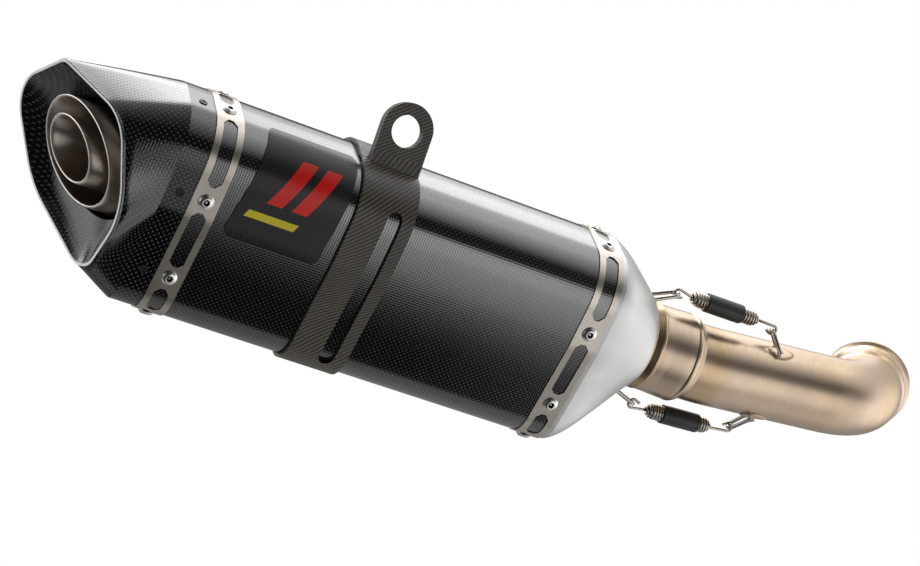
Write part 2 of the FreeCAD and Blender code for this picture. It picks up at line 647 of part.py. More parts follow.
liner_ring = ring("liner_ring", "dims.clamp_gap", "dims.clamp_gap + dims.liner_thick - 0.02",
                  "dims.clamp_start - 0.5", "dims.clamp_width + 1")
liner_split = coded(Part.makeBox(80, 7, 40, Vector(eye_x - 40, -front - 0.5, 40)), "liner_split")
liner_tool = joined("MultiFuse", "liner_openings", liner_split, coded(slot_block(), "liner_slot_tool"))
finish(joined("Cut", "liner_cut", liner_ring, liner_tool), "clamp_liner")

# ---------------------------------------------------------------- badge plate

badge_corners = [Vector(34, -80, 49), Vector(24.5, -80, -19.5), Vector(86, -80, -19.5), Vector(91.5, -80, 49)]
badge_outline = rounded_wire(badge_corners, [4.0, 5.0, 5.0, 4.0])
badge_tool = coded(Part.Face(badge_outline).extrude(Vector(0, 70, 0)), "badge_outline")
badge_ring = ring("badge_ring", "0.02", "dims.badge_thick", "20", "74")
finish(joined("MultiCommon", "badge", badge_ring, badge_tool), "badge_plate")

# ---------------------------------------------------------------- springs, cuffs and hooks

# each spring: its name, the way out from the pipe's axis and its places along X and out from the axis
SPRINGS = [
    {"name": "upper", "out": Vector(0, -math.sin(math.radians(20)), math.cos(math.radians(20))),
     "cap_foot": (316.8, 34.3), "cap_tip": (331.0, 40.6), "coil": ((340.0, 40.8), (391.0, 41.2)),
     "pipe_tip": (403.5, 38.4), "pipe_foot": (413.0, 29.3), "cuff": 351.0},
    {"name": "lower", "out": Vector(0, math.sin(math.radians(10)), -math.cos(math.radians(10))),
     "cap_foot": (319.4, 33.0), "cap_tip": (336.0, 38.4), "coil": ((346.0, 39.6), (394.0, 37.0)),
     "pipe_tip": (406.5, 33.0), "pipe_foot": (414.5, 21.6), "cuff": 357.5},
]


def frame_of(spring):
    """A spring's own frame: what places a point by x, distance from the axis and side, and its two ways."""
    out = spring["out"]
    across = X_AXIS.cross(out)

    def spot(x, radius, side=0.0):
        return X_AXIS * x + out * radius + across * side
    return spot, out, across


def wire_along(edges, start, way, radius):
    """A round wire swept along joined edges."""
    circle = Part.Wire([Part.Circle(start, way, radius).toShape()])
    return Part.Wire(edges).makePipeShell([circle], True, False)


def hook_loop(spring, foot, tip):
    """A wire staple with two legs on the metal and a round end that the spring pulls on."""
    spot, out, across = frame_of(spring)
    half = size["hook_half"]
    foot_point, tip_point = spot(*foot), spot(*tip)
    lean = (tip_point - foot_point).normalize()
    bend_centre = tip_point - lean * half
    path = [
        Part.LineSegment(foot_point - across * half, bend_centre - across * half).toShape(),
        Part.Arc(bend_centre - across * half, tip_point, bend_centre + across * half).toShape(),
        Part.LineSegment(bend_centre + across * half, foot_point + across * half).toShape(),
    ]
    return wire_along(path, foot_point - across * half, lean, size["hook_wire"])


def end_hook(spring, coil_end, tip, sign):
    """The spring's end wire, straight from the coil and then round the staple's end."""
    spot, out, across = frame_of(spring)
    reach = size["end_hook_reach"]
    gap_x, gap_r = coil_end[0] - tip[0], coil_end[1] - tip[1]
    distance = math.hypot(gap_x, gap_r)
    start_turn = math.atan2(gap_r, gap_x * sign) + math.acos(reach / distance)

    def at(turn):
        return spot(tip[0] + sign * reach * math.cos(turn), tip[1] + reach * math.sin(turn))
    first, middle, last = at(start_turn), at(start_turn + 1.75), at(start_turn + 3.5)
    start = spot(*coil_end)
    path = [Part.LineSegment(start, first).toShape(), Part.Arc(first, middle, last).toShape()]
    return wire_along(path, start, (first - start).normalize(), size["spring_wire"])


def coil_shape(spring):
    """The close-wound coil as one turned solid with a round ridge for each turn."""
    spot, out, across = frame_of(spring)
    start, end = spot(*spring["coil"][0]), spot(*spring["coil"][1])
    length = (end - start).Length
    turns = int(size["coil_turns"])
    pitch = length / turns
    edges = [Part.LineSegment(Vector(0, 0, 0), Vector(2.6, 0, 0)).toShape()]
    radii = [2.6, 3.5, 4.2] + [size["coil_radius"] - 0.6] * (turns - 5) + [4.2, 3.5, 2.6]
    for i in range(turns):
        a, b = Vector(radii[i], 0, i * pitch), Vector(radii[i + 1], 0, (i + 1) * pitch)
        crest = (a + b) / 2 + Vector(0.6, 0, 0)
        edges.append(Part.Arc(a, crest, b).toShape())
    edges.append(Part.LineSegment(Vector(2.6, 0, length), Vector(0, 0, length)).toShape())
    edges.append(Part.LineSegment(Vector(0, 0, length), Vector(0, 0, 0)).toShape())
    solid = Part.Face(Part.Wire(edges)).revolve(Vector(0, 0, 0), Vector(0, 0, 1), 360)
    solid.Placement = Placement(start, Rotation(Vector(0, 0, 1), end - start))
    return solid


def cuff_shape(spring):
    """The damping sleeve round the middle of the coil."""
    spot, out, across = frame_of(spring)
    start, end = spot(*spring["coil"][0]), spot(*spring["coil"][1])
    way = (end - start).normalize()
    place = start + way * ((spring["cuff"] - spring["coil"][0][0]) / way.x)
    outer, inner, length = size["cuff_radius"], size["coil_radius"] + 0.15, size["cuff_length"]
    profile = [(0, inner), (length, inner), (length, outer - 0.5), (length - 0.5, outer), (0.5, outer),
               (0, outer - 0.5)]
    return turned_shape(profile, place, way)


for spring in SPRINGS:
    name = spring["name"]
    spot, out, across = frame_of(spring)
    cap_hook = hook_loop(spring, spring["cap_foot"], spring["cap_tip"])
    finish(coded(cap_hook, "cap_hook_" + name), "cap_hook_" + name)
    pipe_hook = hook_loop(spring, spring["pipe_foot"], spring["pipe_tip"])
    pad_place = spot(*spring["pipe_foot"])
    pad = Part.makeCylinder(size["pad_radius"], 5.0, pad_place - out * 4.0, out)
    pipe_hook = pipe_hook.fuse(pad).cut(swept(size["pipe_radius"]))
    finish(coded(pipe_hook, "pipe_hook_" + name), "pipe_hook_" + name)
    coil = coil_shape(spring)
    first = end_hook(spring, spring["coil"][0], spring["cap_tip"], 1)
    last = end_hook(spring, spring["coil"][1], spring["pipe_tip"], -1)
    finish(coded(coil.fuse([first, last]), "spring_" + name), "spring_" + name)
    finish(coded(cuff_shape(spring), "spring_cuff_" + name), "spring_cuff_" + name)

# ---------------------------------------------------------------- check and write

doc.recompute()
problems = [item.Label for item in doc.Objects if {"Invalid", "Error"} & set(item.State)]
for item in nodes:
    shape = item.Shape
    if shape.isNull() or not shape.isValid() or not shape.Solids:
        problems.append(item.Label)
if problems:
    raise RuntimeError("not built: " + ", ".join(problems))
os.makedirs("parts", exist_ok=True)
for item in nodes:
    item.Shape.exportStep("parts/%s.step" % item.Label)
    box = item.Shape.BoundBox
    print("%-24s solids %2d volume %10.1f  x %7.1f %7.1f  y %7.1f %7.1f  z %7.1f %7.1f" % (
        item.Label, len(item.Shape.Solids), item.Shape.Volume,
        box.XMin, box.XMax, box.YMin, box.YMax, box.ZMin, box.ZMax))
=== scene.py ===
import json
import math

import bmesh
import bpy
from mathutils import Matrix, Vector


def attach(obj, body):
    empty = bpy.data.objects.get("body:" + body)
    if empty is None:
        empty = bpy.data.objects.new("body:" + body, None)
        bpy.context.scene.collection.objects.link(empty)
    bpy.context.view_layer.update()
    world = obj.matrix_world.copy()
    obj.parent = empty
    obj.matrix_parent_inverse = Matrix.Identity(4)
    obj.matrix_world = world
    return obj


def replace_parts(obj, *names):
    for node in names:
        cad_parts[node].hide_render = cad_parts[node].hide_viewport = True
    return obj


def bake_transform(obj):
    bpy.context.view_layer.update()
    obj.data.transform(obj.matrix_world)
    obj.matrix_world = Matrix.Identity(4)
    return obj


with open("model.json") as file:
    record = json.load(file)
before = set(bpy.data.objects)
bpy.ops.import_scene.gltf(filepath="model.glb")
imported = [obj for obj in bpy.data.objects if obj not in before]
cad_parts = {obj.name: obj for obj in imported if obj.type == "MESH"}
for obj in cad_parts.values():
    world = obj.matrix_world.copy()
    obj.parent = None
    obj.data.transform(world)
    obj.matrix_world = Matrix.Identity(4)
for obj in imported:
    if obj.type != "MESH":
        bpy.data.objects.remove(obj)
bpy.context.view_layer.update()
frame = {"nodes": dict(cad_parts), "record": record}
NODES = frame["nodes"]

# Lengths below are millimetres on the silencer's own axes: X from the outlet strap's outer edge
# towards the link pipe, Z up, with the neck's axis at y = z = 0. SHIFT carries them to the row frame.
SHIFT = Vector((-116.1, 28.8, -74.0))
X_AXIS = Vector((1, 0, 0))


def to_row(point):
    return (Vector(point) + SHIFT) / 1000


# ---------------------------------------------------------------- camera, world and floor

def make_camera():
    """The photograph's view: level, turned towards the outlet and rolled so that the inlet hangs low."""
    place = (-0.55102, -1.50658, -0.07314)
    right = Vector((0.87465, -0.35733, 0.32756))
    down = Vector((0.30275, -0.12504, -0.94483))
    ahead = right.cross(down)
    data = bpy.data.cameras.new("camera")
    data.lens = 104.91
    data.sensor_width = 36.0
    data.clip_start, data.clip_end = 0.05, 60.0
    camera = bpy.data.objects.new("camera", data)
    turn = Matrix((right, -down, -ahead)).transposed()
    camera.matrix_world = Matrix.Translation(place) @ turn.to_4x4()
    bpy.context.scene.collection.objects.link(camera)
    bpy.context.scene.camera = camera


def grey(level):
    return (level, level, level)


class Net:
    """A node tree with short calls for the nodes that the materials use."""

    def __init__(self, tree):
        self.tree = tree
        tree.nodes.clear()

    def add(self, kind, settings=None, **inputs):
        """A new node. An input goes by its number, as i0 or i1, or by its label with _ for a space."""
        node = self.tree.nodes.new(kind)
        for key, value in (settings or {}).items():
            setattr(node, key, value)
        for key, value in inputs.items():
            numbered = key[0] == "i" and key[1:].isdigit()
            socket = node.inputs[int(key[1:]) if numbered else key.replace("_", " ")]
            if isinstance(value, bpy.types.Node):
                value = value.outputs[0]
            if isinstance(value, bpy.types.NodeSocket):
                self.tree.links.new(value, socket)
            else:
                socket.default_value = value
        return node

    def math(self, operation, *values):
        inputs = {"i%d" % i: value for i, value in enumerate(values)}
        return self.add("ShaderNodeMath", {"operation": operation}, **inputs).outputs[0]

    def ramp(self, factor, stops):
        """A scale of greys from (place, level) stops."""
        node = self.add("ShaderNodeValToRGB", Fac=factor)
        elements = node.color_ramp.elements
        while len(elements) < len(stops):
            elements.new(0.5)
        for element, (place, level) in zip(elements, stops):
            element.position = place
            element.color = (*grey(level), 1)
        return node.outputs[0]

    def mix(self, factor, first, second):
        """One colour turning into another. The colour sockets of the node are 6, 7 and output 2."""
        colours = [(*value, 1) if isinstance(value, tuple) else value for value in (first, second)]
        node = self.add("ShaderNodeMix", {"data_type": "RGBA"}, i0=factor, i6=colours[0], i7=colours[1])
        return node.outputs[2]

    def noise(self, vector, scale, detail=3.0, roughness=0.55):
        return self.add("ShaderNodeTexNoise", Vector=vector, Scale=scale, Detail=detail,
                        Roughness=roughness).outputs["Fac"]

    def spread(self, value, low, high, new_low=0.0, new_high=1.0):
        """The value from low to high carried to a new span, and held at its ends."""
        return self.add("ShaderNodeMapRange", {"clamp": True}, Value=value, From_Min=low, From_Max=high,
                        To_Min=new_low, To_Max=new_high).outputs[0]

    def stretched(self, vector, scale):
        return self.add("ShaderNodeVectorMath", {"operation": "MULTIPLY"}, i0=vector, i1=scale).outputs[0]

    def bump(self, height, microns):
        return self.add("ShaderNodeBump", Height=height, Distance=microns * 1e-6, Strength=1.0).outputs[0]


# Brightness of the studio round the silencer's axis, as (degrees up from the camera's side, level).
# From the outlet's end on, each later table takes over between two values of a way's X.
OUTLET_SIDE = [
    (-180, 0.95), (-166, 0.16), (-125, 0.20), (-112, 0.42), (-96, 0.36), (-86, 0.07), (-60, 0.03),
    (45, 0.03), (75, 0.30), (112, 0.7), (120, 4.0), (146, 4.0), (153, 0.15), (162, 0.3), (168, 1.4),
    (180, 0.95),
]
SLEEVE_SIDE = [
    (-180, 0.10), (-171, 0.32), (-112, 0.48), (-72, 0.40), (-62, 0.02), (-46.5, 0.015), (-44.6, 0.22),
    (-43.0, 0.50), (-41.5, 0.70), (-38, 0.95), (-34, 1.25), (-29, 1.60), (-18, 2.0), (2, 2.0), (7, 1.4),
    (10.5, 0.05), (34, 0.04), (44, 0.45), (56, 1.0), (84, 2.2), (116, 2.0), (150, 1.7), (157, 0.12),
    (180, 0.10),
]
SLEEVE_END = [(way, level * (0.34 if -60 < way < 9 else 0.75)) for way, level in SLEEVE_SIDE]
INLET_SIDE = [
    (-180, 0.30), (-120, 0.50), (-75, 1.0), (-20, 1.25), (4, 0.9), (22, 0.22), (40, 0.22), (58, 0.75),
    (100, 1.0), (140, 0.8), (165, 0.3), (180, 0.25),
]
LATER_TABLES = [((0.155, 0.19), SLEEVE_END), ((0.315, 0.345), SLEEVE_SIDE), ((0.455, 0.495), INLET_SIDE)]
STUDIO_BRIGHTEST = 4.0
STUDIO_ENDS = (0.80, 0.97)


def make_world():
    """A white surround to the eye, with soft lights and dark cards placed round the silencer's axis."""
    world = bpy.data.worlds.new("studio")
    world.use_nodes = True
    net = Net(world.node_tree)
    ways = net.add("ShaderNodeSeparateXYZ", Vector=net.add("ShaderNodeTexCoord").outputs["Generated"])
    toward = net.math("MULTIPLY", ways.outputs["Y"], -1.0)
    angle = net.math("ARCTAN2", ways.outputs["Z"], toward)
    share = net.math("MULTIPLY_ADD", angle, 0.5 / math.pi, 0.5)

    def bands(table):
        return net.ramp(share, [((way + 180) / 360, level / STUDIO_BRIGHTEST) for way, level in table])

    studio = bands(OUTLET_SIDE)
    for (start, end), table in LATER_TABLES:
        studio = net.mix(net.spread(ways.outputs["X"], start, end), studio, bands(table))
    ends = net.spread(net.math("ABSOLUTE", ways.outputs["X"]), *STUDIO_ENDS)
    studio = net.mix(ends, studio, grey(0.45))
    lights = net.add("ShaderNodeBackground", Color=studio, Strength=STUDIO_BRIGHTEST)
    plain = net.add("ShaderNodeBackground", Color=(1, 1, 1, 1), Strength=1.0)
    eye = net.add("ShaderNodeLightPath").outputs["Is Camera Ray"]
    seen = net.add("ShaderNodeMixShader", Fac=eye, i1=lights, i2=plain)
    net.add("ShaderNodeOutputWorld", Surface=seen)
    bpy.context.scene.world = world
    bpy.context.scene.view_settings.view_transform = "Standard"


def make_softbox(name, centre, toward, width, height, power):
    """A soft rectangular light, kept out of the camera's sight."""
    data = bpy.data.lights.new(name, "AREA")
    data.shape = "RECTANGLE"
    data.size, data.size_y = width, height
    data.energy = power
    light = bpy.data.objects.new(name, data)
    back = (Vector(centre) - Vector(toward)).normalized()
    side = (X_AXIS - back * back.x).normalized()
    turn = Matrix((side, back.cross(side), back)).transposed()
    light.matrix_world = Matrix.Translation(centre) @ turn.to_4x4()
    light.visible_camera = False
    bpy.context.scene.collection.objects.link(light)


def new_material(name):
    material = bpy.data.materials.new(name)
    material.use_nodes = True
    return material, Net(material.node_tree)


def make_floor():
    """A pale round floor that fades into the surround."""
    mesh = bpy.data.meshes.new("floor")
    shape = bmesh.new()
    bmesh.ops.create_circle(shape, cap_ends=True, radius=1.5, segments=96)
    shape.to_mesh(mesh)
    shape.free()
    floor = bpy.data.objects.new("floor", mesh)
    floor.location = (0.1, 0.03, -0.30)
    bpy.context.scene.collection.objects.link(floor)
    material, net = new_material("floor")
    place = net.add("ShaderNodeTexCoord").outputs["Object"]
    reach = net.add("ShaderNodeVectorMath", {"operation": "LENGTH"}, i0=place).outputs["Value"]
    fade = net.spread(reach, 0.12, 0.72, 0.30, 1.0)
    matt = net.add("ShaderNodeBsdfDiffuse", Color=(*grey(0.62), 1))
    glow = net.add("ShaderNodeEmission", Color=(1, 1, 1, 1), Strength=0.45)
    paint = net.add("ShaderNodeAddShader", i0=matt, i1=glow)
    clear = net.add("ShaderNodeBsdfTransparent")
    faded = net.add("ShaderNodeMixShader", Fac=fade, i1=paint, i2=clear)
    net.add("ShaderNodeOutputMaterial", Surface=faded)
    mesh.materials.append(material)
    floor.visible_glossy = False


make_camera()
make_world()
make_softbox("top_softbox", (0.29, 0.755, 0.911), (-0.09, 0.0, -0.025), 0.86, 0.36, 1.5)
make_floor()

# ---------------------------------------------------------------- materials

CARBON_BLACK = grey(0.0015)
TINT_WANDER = 6.0
GOLD = (0.52, 0.36, 0.19)
STRAW = (0.66, 0.53, 0.36)
# A dark brown for a band deeper inside the outlet tubes.
DEEP_TONE = (0.15, 0.12, 0.10)


def finish_material(net, **inputs):
    net.add("ShaderNodeOutputMaterial", Surface=net.add("ShaderNodeBsdfPrincipled", **inputs))


def carbon_weave(name, tow, light, lacquer, relief):
    """Lacquered plain-weave carbon, with tows of a width in mm, on the piece's own unrolled coordinates."""
    material, net = new_material(name)
    unrolled = net.add("ShaderNodeUVMap", {"uv_map": "weave"}).outputs[0]
    ways = net.add("ShaderNodeSeparateXYZ", Vector=unrolled)
    waves = []
    for way in "XY":
        waves.append(net.math("SINE", net.math("MULTIPLY", ways.outputs[way], math.pi * 1000 / tow)))
    crossed = net.math("MULTIPLY", *waves)
    over = net.spread(crossed, -0.04, 0.04)
    crown = net.math("POWER", net.math("ABSOLUTE", crossed), 0.8)
    cloud = net.noise(net.stretched(unrolled, (60, 60, 60)), 1.0, 2.0)
    threads = net.noise(net.stretched(unrolled, (2600, 300, 1)), 1.0, 2.0)
    # Painted glints: the crowns of every other tow are painted towards the light colour, a painted
    # highlight where lit crowns would shine; the weave's pattern itself is real.
    tows = net.mix(net.spread(crossed, 0.35, 0.92), CARBON_BLACK, light)
    worn = net.mix(net.spread(threads, 0.35, 0.65, 0.0, 0.35), tows, grey(0.0))
    colour = net.mix(net.spread(cloud, 0.3, 0.7, 0.0, 0.25), worn, CARBON_BLACK)
    rise = net.math("MULTIPLY", crown, net.math("MULTIPLY_ADD", over, 0.6, 0.4))
    gloss = net.spread(cloud, 0.3, 0.7, 0.24, 0.32)
    finish_material(net, Base_Color=colour, Roughness=gloss, IOR=1.12, Normal=net.bump(rise, relief),
                    Coat_Weight=1.0, Coat_IOR=lacquer, Coat_Roughness=0.03,
                    Coat_Normal=net.bump(crown, relief * 0.35))
    return material


def twill(name):
    """Satin twill carbon with a brownish resin. Its diagonal ribs follow the band round and the ear up."""
    material, net = new_material(name)
    band_centre, band_reach, ear_foot = SHIFT.z / 1000 - 0.010, 0.062, 0.068
    place = net.add("ShaderNodeTexCoord").outputs["Object"]
    ways = net.add("ShaderNodeSeparateXYZ", Vector=place)
    across = net.math("SUBTRACT", ways.outputs["Y"], SHIFT.y / 1000)
    up = net.math("SUBTRACT", ways.outputs["Z"], band_centre)
    turn = net.math("ARCTAN2", net.math("MULTIPLY", across, -1.0), up)
    ear = net.math("MAXIMUM", net.math("SUBTRACT", up, ear_foot), 0.0)
    round_band = net.math("SUBTRACT", ear, net.math("MULTIPLY", turn, band_reach))
    diagonal = net.math("SUBTRACT", ways.outputs["X"], round_band)
    ribs = net.math("SINE", net.math("MULTIPLY", diagonal, 2000.0))
    steps = net.math("SINE", net.math("MULTIPLY", ways.outputs["X"], 3100.0))
    rise = net.math("MULTIPLY_ADD", steps, 0.25, ribs)
    cloud = net.noise(place, 55.0, 3.0)
    tint = net.mix(net.spread(rise, -0.8, 0.9), (0.012, 0.011, 0.009), (0.115, 0.100, 0.074))
    colour = net.mix(net.spread(cloud, 0.35, 0.7, 0.0, 0.4), tint, (0.045, 0.040, 0.031))
    finish_material(net, Base_Color=colour, Roughness=net.spread(cloud, 0.3, 0.7, 0.34, 0.46),
                    Normal=net.bump(rise, 30.0))
    return material


def brushed(name, first, second, rough, grain, relief, tints=()):
    """Metal with drawn lines. A grain of (x, y, z) scales sets their way.

    Each tint is a band along X, as (centre in mm, half width in mm, strength, colour).
    """
    material, net = new_material(name)
    place = net.add("ShaderNodeTexCoord").outputs["Object"]
    lines = net.noise(net.stretched(place, grain), 1.0, 4.0, 0.6)
    cloud = net.noise(place, 28.0, 4.0, 0.6)
    colour = net.mix(net.spread(cloud, 0.32, 0.68), first, second)
    along = net.add("ShaderNodeSeparateXYZ", Vector=place).outputs["X"]
    strayed = net.math("MULTIPLY_ADD", net.noise(place, 40.0, 2.0), TINT_WANDER / 1000, along)
    for centre, half_width, strength, tint in tints:
        middle = (centre + SHIFT.x + TINT_WANDER / 2) / 1000
        offset = net.math("ABSOLUTE", net.math("SUBTRACT", strayed, middle))
        colour = net.mix(net.spread(offset, 0.0, half_width / 1000, strength, 0.0), colour, tint)
    shaded = net.mix(net.spread(lines, 0.3, 0.7, 0.0, 0.08), colour, (0.10, 0.09, 0.08))
    gloss = net.spread(lines, 0.3, 0.7, rough * 0.9, rough * 1.12)
    finish_material(net, Base_Color=shaded, Metallic=1.0, Roughness=gloss, Normal=net.bump(lines, relief))
    return material


def speckled(name, first, second, metal, rough, scale, relief):
    """A fine-grained finish, for blasted metal, rubber, wool and oxide, and for the painted highlight on
    the rim and the painted shade in the rivet sockets.
    """
    material, net = new_material(name)
    place = net.add("ShaderNodeTexCoord").outputs["Object"]
    grains = net.noise(place, scale, 3.0, 0.6)
    cloud = net.noise(place, scale / 40, 3.0)
    blend = net.math("ADD", net.spread(grains, 0.3, 0.7, 0.0, 0.5), net.spread(cloud, 0.3, 0.7, 0.0, 0.5))
    gloss = net.spread(grains, 0.3, 0.7, rough * 0.9, rough * 1.12)
    finish_material(net, Base_Color=net.mix(blend, first, second), Metallic=metal, Roughness=gloss,
                    Normal=net.bump(grains, relief))
    return material


def badge_paint(name):
    """A dark satin plate with two plain slanted bars over a thin rule."""
    material, net = new_material(name)
    centre_x, centre_z, slant = 60.0, 16.0, 0.45
    place = net.add("ShaderNodeTexCoord").outputs["Object"]
    ways = net.add("ShaderNodeSeparateXYZ", Vector=place)
    along = net.math("SUBTRACT", ways.outputs["X"], (centre_x + SHIFT.x) / 1000)
    up = net.math("SUBTRACT", ways.outputs["Z"], (centre_z + SHIFT.z) / 1000)
    slanted = net.math("MULTIPLY_ADD", up, -slant, along)

    def inside(value, low, high):
        above = net.math("GREATER_THAN", value, low / 1000)
        return net.math("MULTIPLY", above, net.math("LESS_THAN", value, high / 1000))

    both_bars = net.math("ADD", inside(slanted, -13.0, -3.0), inside(slanted, 3.0, 13.0))
    bars = net.math("MULTIPLY", inside(up, -10.0, 20.0), both_bars)
    rule = net.math("MULTIPLY", inside(up, -21.0, -16.5), inside(slanted, -18.0, 14.0))
    grains = net.noise(place, 1500.0, 2.0)
    base = net.mix(net.spread(grains, 0.3, 0.7), (0.010, 0.010, 0.011), (0.019, 0.019, 0.020))
    colour = net.mix(rule, net.mix(bars, base, (0.62, 0.012, 0.008)), (0.60, 0.50, 0.02))
    finish_material(net, Base_Color=colour, Roughness=net.spread(grains, 0.3, 0.7, 0.24, 0.32), IOR=1.38,
                    Normal=net.bump(grains, 8.0))
    return material


MATERIALS = {
    # The third value of each weave is the colour of its painted crown glints.
    "carbon_sleeve": carbon_weave("sleeve_weave", 1.6, (0.085, 0.085, 0.088), 2.1, 75.0),
    "carbon_cap": carbon_weave("cap_weave", 1.9, (0.110, 0.110, 0.113), 1.7, 80.0),
    "carbon_clamp": twill("clamp_twill"),
    "strap_metal": brushed("strap_brushed", (0.56, 0.52, 0.47), (0.47, 0.43, 0.38), 0.30,
                           (150, 1200, 1200), 1.5),
    "rivet_metal": brushed("rivet_polish", (0.74, 0.73, 0.71), (0.64, 0.63, 0.61), 0.27,
                           (900, 900, 900), 4.0),
    "screw_black": speckled("screw_oxide", grey(0.012), grey(0.03), 0.6, 0.35, 2500.0, 10.0),
    "cap_metal": speckled("cap_blasted", (0.62, 0.62, 0.61), grey(0.50), 1.0, 0.42, 2600.0, 8.0),
    "pipe_metal": brushed("pipe_titanium", (0.60, 0.465, 0.355), (0.51, 0.395, 0.30), 0.31,
                          (900, 120, 120), 0.4,
                          ((322.0, 9.0, 0.8, GOLD), (352.0, 7.0, 0.5, STRAW), (368.0, 14.0, 0.75, GOLD),
                           (405.0, 26.0, 0.35, STRAW), (455.0, 30.0, 0.3, GOLD),
                           (506.0, 16.0, 0.75, GOLD))),
    # The tubes turn darker in a band deeper inside the silencer.
    "tube_metal": brushed("tube_titanium", (0.74, 0.66, 0.60), (0.60, 0.53, 0.475), 0.31,
                          (1400, 200, 200), 0.8, ((-40.0, 24.0, 0.30, GOLD), (16.0, 42.0, 0.85, DEEP_TONE))),
    "core_metal": brushed("core_steel", (0.30, 0.27, 0.24), (0.20, 0.17, 0.15), 0.4, (300, 900, 900), 10.0),
    "wool": speckled("wool_fibre", (0.62, 0.58, 0.48), (0.45, 0.41, 0.33), 0.0, 0.9, 700.0, 300.0),
    "wire_metal": brushed("wire_steel", (0.56, 0.52, 0.47), (0.42, 0.38, 0.33), 0.24, (600, 600, 600), 5.0),
    "rubber": speckled("rubber_black", (0.012, 0.012, 0.013), (0.022, 0.022, 0.023), 0.0, 0.42,
                       1400.0, 20.0),
    "badge": badge_paint("badge_satin"),
    # Near white: a painted highlight along the end cap's rounded rim.
    "rim_highlight_paint": speckled("rim_lip_painted_highlight", (0.95, 0.95, 0.96), (0.80, 0.80, 0.81), 0.0, 0.16,
                         1800.0, 4.0),
    # Near black: painted shade on the wall of each rivet's socket.
    "socket_painted_shade": speckled("socket_shade", grey(0.010), grey(0.02), 0.4, 0.5, 1800.0, 10.0),
    # Near-white metal on the rolled lips of the outlet tubes: a polished edge, painted brighter as a
    # painted highlight.
    "lip": brushed("lip_polish_and_painted_highlight", (0.97, 0.92, 0.88), (0.90, 0.84, 0.79), 0.42, (700, 700, 700), 0.8),
    "weld": brushed("weld_titanium", (0.55, 0.43, 0.30), (0.38, 0.28, 0.20), 0.26, (700, 700, 700), 10.0),
}
SLOT_OF = {part["node"]: part["material_slot"] for part in frame["record"]["subparts"]}
for node, item in NODES.items():
    item.data.materials.clear()
    item.data.materials.append(MATERIALS[SLOT_OF[node]])

# ---------------------------------------------------------------- mesh tools

def piece(name, mesh, body, slot, *materials):
    """Links a finished mesh as a piece that rides on a body. A piece that is blended has no body here."""
    item = bpy.data.objects.new(name, mesh)
    bpy.context.scene.collection.objects.link(item)
    for material in materials or (MATERIALS[slot],):
        mesh.materials.append(material)
    if body:
        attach(item, body)
    return item


def edited(mesh, change):
    """Changes a mesh through bmesh."""
    shape = bmesh.new()
    shape.from_mesh(mesh)
    change(shape)
    shape.to_mesh(mesh)
    shape.free()


def circle_turns(count):
    return [2 * math.pi * k / count for k in range(count)]


def skin(name, rows, weave=None, closed=False, angle=40.0, paint=None, creases=()):
    """A surface through rings of points, whose edges sharper than an angle stay sharp.

    weave gives each ring's unrolled places, one more than its points. paint gives each row's material.
    creases are the rings whose own edges stay sharp.
    """
    count = len(rows[0])
    faces, places, painted = [], [], []
    for row in range(len(rows) if closed else len(rows) - 1):
        after = (row + 1) % len(rows)
        for i in range(count):
            j = (i + 1) % count
            faces.append((row * count + i, row * count + j, after * count + j, after * count + i))
            painted.append(paint[row] if paint else 0)
            if weave:
                places.append((weave[row][i], weave[row][i + 1], weave[after][i + 1], weave[after][i]))
    mesh = bpy.data.meshes.new(name)
    mesh.from_pydata([to_row(point) for row in rows for point in row], [], faces)
    mesh.polygons.foreach_set("material_index", painted)
    if weave:
        layer = mesh.uv_layers.new(name="weave")
        for face, corners in zip(mesh.polygons, places):
            for loop, place in zip(face.loop_indices, corners):
                layer.data[loop].uv = place
    edited(mesh, lambda shape: bmesh.ops.recalc_face_normals(shape, faces=shape.faces))
    mesh.polygons.foreach_set("use_smooth", [True] * len(mesh.polygons))
    mesh.set_sharp_from_angle(angle=math.radians(angle))
    for edge in mesh.edges:
        rings = {vertex // count for vertex in edge.vertices}
        if len(rings) == 1 and rings.pop() in creases:
            edge.use_edge_sharp = True
    return mesh


def sweep(name, path, radius, sides=10, closed=False):
    """A round wire along a path of points. radius is a number or one for each point."""
    radii = radius if isinstance(radius, list) else [radius] * len(path)
    turns = circle_turns(sides)
    rings, normal = [], None
    for i, point in enumerate(path):
        before = path[i - 1] if i or closed else path[0]
        after = path[(i + 1) % len(path)] if i + 1 < len(path) or closed else path[-1]
        way = (after - before).normalized()
        if normal is None:
            normal = way.orthogonal().normalized()
        normal = (normal - way * normal.dot(way)).normalized()
        across = way.cross(normal)
        rings.append([point + (normal * math.cos(t) + across * math.sin(t)) * radii[i] for t in turns])
    if not closed:
        rings = [[path[0]] * sides, *rings, [path[-1]] * sides]
    mesh = skin(name, rings, closed=closed, angle=60.0)
    edited(mesh, lambda shape: bmesh.ops.remove_doubles(shape, verts=shape.verts, dist=1e-7))
    return mesh


def merged(name, meshes):
    """Several meshes as one."""
    shape = bmesh.new()
    for mesh in meshes:
        shape.from_mesh(mesh)
    whole = bpy.data.meshes.new(name)
    shape.to_mesh(whole)
    shape.free()
    whole.set_sharp_from_angle(angle=math.radians(50))
    return whole


def lathe(name, profile, place, way, segments, ripple, angle):
    """A turned ring from (distance, radius) points. ripple changes the radius by the turn and the point."""
    side = way.orthogonal().normalized()
    across = way.cross(side)
    rows = []
    for step, (distance, radius) in enumerate(profile):
        row = []
        for turn in circle_turns(segments):
            out = side * math.cos(turn) + across * math.sin(turn)
            row.append(place + way * distance + out * (radius + ripple(turn, step)))
        rows.append(row)
    return skin(name, rows, closed=True, angle=angle)


# ---------------------------------------------------------------- shield outlines

